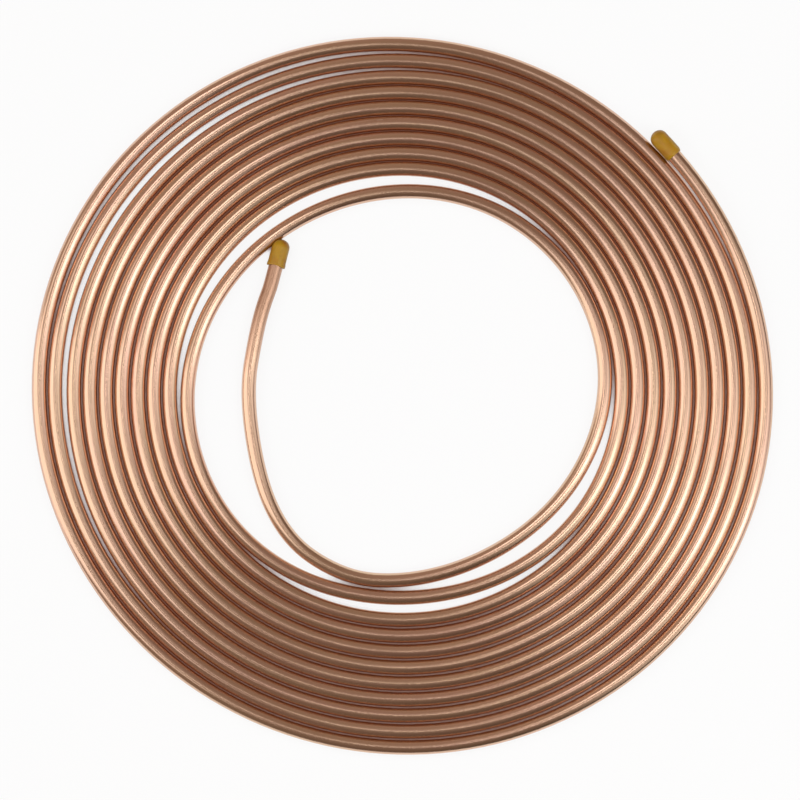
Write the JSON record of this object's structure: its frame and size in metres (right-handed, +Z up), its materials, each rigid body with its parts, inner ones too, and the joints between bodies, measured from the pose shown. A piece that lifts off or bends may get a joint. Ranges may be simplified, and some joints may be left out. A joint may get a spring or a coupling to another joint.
{
  "type": "copper tube coil",
  "caption": "Soft copper tube wound as one flat spiral coil with an open middle, a free inner end and a push-on vinyl cap on each end.",
  "frame": {"origin": "centre of the coil's bounding box, at floor level", "axes": "+Z up along the coil's axis, +X along the coil's slightly longer side, the free inner end lying at -X"},
  "size_m": [0.4058, 0.393, 0.0131],
  "materials": {
    "copper": "bright annealed copper, satin",
    "cap_vinyl": "mustard yellow soft vinyl, satin"
  },
  "bodies": {
    "root": {"copper_tube": "copper", "outer_end_cap": "cap_vinyl", "inner_end_cap": "cap_vinyl"}
  },
  "joints": []
}
